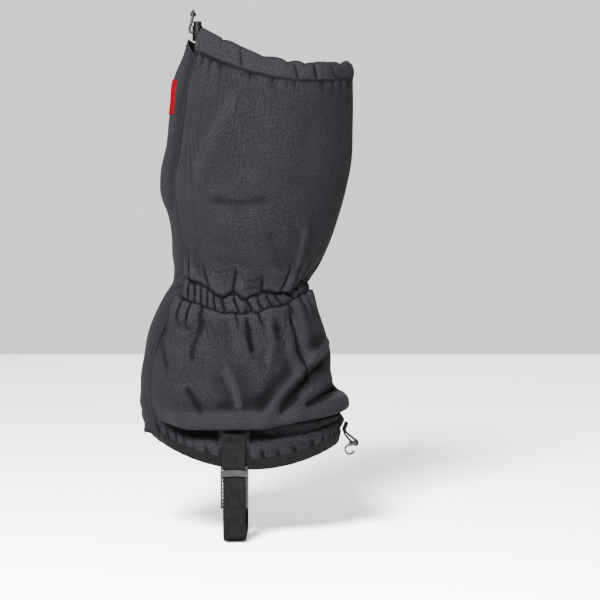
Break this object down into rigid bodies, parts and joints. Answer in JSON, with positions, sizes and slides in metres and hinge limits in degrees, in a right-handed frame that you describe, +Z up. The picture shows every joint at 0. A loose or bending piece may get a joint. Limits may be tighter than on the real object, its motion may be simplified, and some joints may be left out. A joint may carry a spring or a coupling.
{
  "type": "hiking gaiter",
  "caption": "Tall fabric hiking gaiter with a gathered ankle, covered rear zip, top drawcord with lock, front lace hook, and a buckled webbing strap under the boot.",
  "frame": {"origin": "middle of the upper face of the strap under the boot, where the arch of the sole rests", "axes": "+X towards the toe, +Z up the leg, -Y to the outer side of the right leg, where the buckle is"},
  "size_m": [0.2011, 0.1292, 0.4826],
  "materials": {
    "shell_fabric": "coated woven nylon, matt charcoal with a faint sheen",
    "elastic": "ribbed black elastic",
    "zip_tape": "black woven tape",
    "zip_coil": "black moulded coil",
    "steel": "nickel-plated, worn satin",
    "black_plastic": "moulded black, slightly glossy edges",
    "hook_tape": "stiff black hooks on woven tape",
    "loop_tape": "black brushed loops on woven tape",
    "red_label": "woven, blank",
    "cord": "round braid, black with light flecks",
    "webbing": "flat ribbed black nylon"
  },
  "bodies": {
    "shell": {"outer_panel": "shell_fabric", "inner_panel": "shell_fabric", "outer_cord_facing": "shell_fabric", "inner_cord_facing": "shell_fabric", "ankle_elastic": "elastic", "ankle_channel_strip": "shell_fabric", "hem_binding": "elastic", "outer_zip_tape": "zip_tape", "inner_zip_tape": "zip_tape", "outer_zip_coil": "zip_coil", "inner_zip_coil": "zip_coil", "inner_top_stop": "steel", "outer_top_stop": "steel", "zip_retainer_box": "black_plastic", "zip_insertion_pin": "black_plastic", "loop_patch_top": "loop_tape", "loop_patch_middle": "loop_tape", "loop_patch_bottom": "loop_tape", "drawcord": "cord", "cord_lock_barrel": "black_plastic", "sole_strap": "webbing", "strap_anchor": "webbing", "lace_hook_tab": "webbing"},
    "flap": {"storm_flap": "shell_fabric", "hook_patch_top": "hook_tape", "hook_patch_middle": "hook_tape", "hook_patch_bottom": "hook_tape", "side_label": "red_label"},
    "zip_slider": {"zip_slider": "steel"},
    "zip_pull": {"zip_pull": "steel"},
    "lock_plunger": {"cord_lock_plunger": "black_plastic"},
    "buckle": {"buckle_frame": "steel", "strap_free_end": "webbing"},
    "lace_hook": {"lace_hook": "steel"}
  },
  "joints": [
    {"name": "flap_swing", "type": "hinge", "parent": "shell", "child": "flap", "pos_m": [-0.031, -0.0265, 0.28], "axis": [0, 0, 1], "range_deg": [0, 75]},
    {"name": "zip_slide", "type": "slide", "parent": "shell", "child": "zip_slider", "axis": [-0.1386, 0, -0.9903], "range_m": [0, 0.068]},
    {"name": "pull_swing", "type": "hinge", "parent": "zip_slider", "child": "zip_pull", "pos_m": [-0.05267, 0, 0.40476], "axis": [0, 1, 0], "range_deg": [0, 9]},
    {"name": "lock_press", "type": "slide", "parent": "shell", "child": "lock_plunger", "axis": [0, 0, -1], "range_m": [0, 0.003], "stiffness_N_per_m": 800, "springref_m": -0.003},
    {"name": "buckle_tilt", "type": "hinge", "parent": "shell", "child": "buckle", "pos_m": [0, -0.05491, 0.06698], "axis": [-1, 0, 0], "range_deg": [0, 35]},
    {"name": "hook_swing", "type": "hinge", "parent": "shell", "child": "lace_hook", "pos_m": [0.11, 0, 0.084], "axis": [0, 1, 0], "range_deg": [-75, 0]}
  ]
}
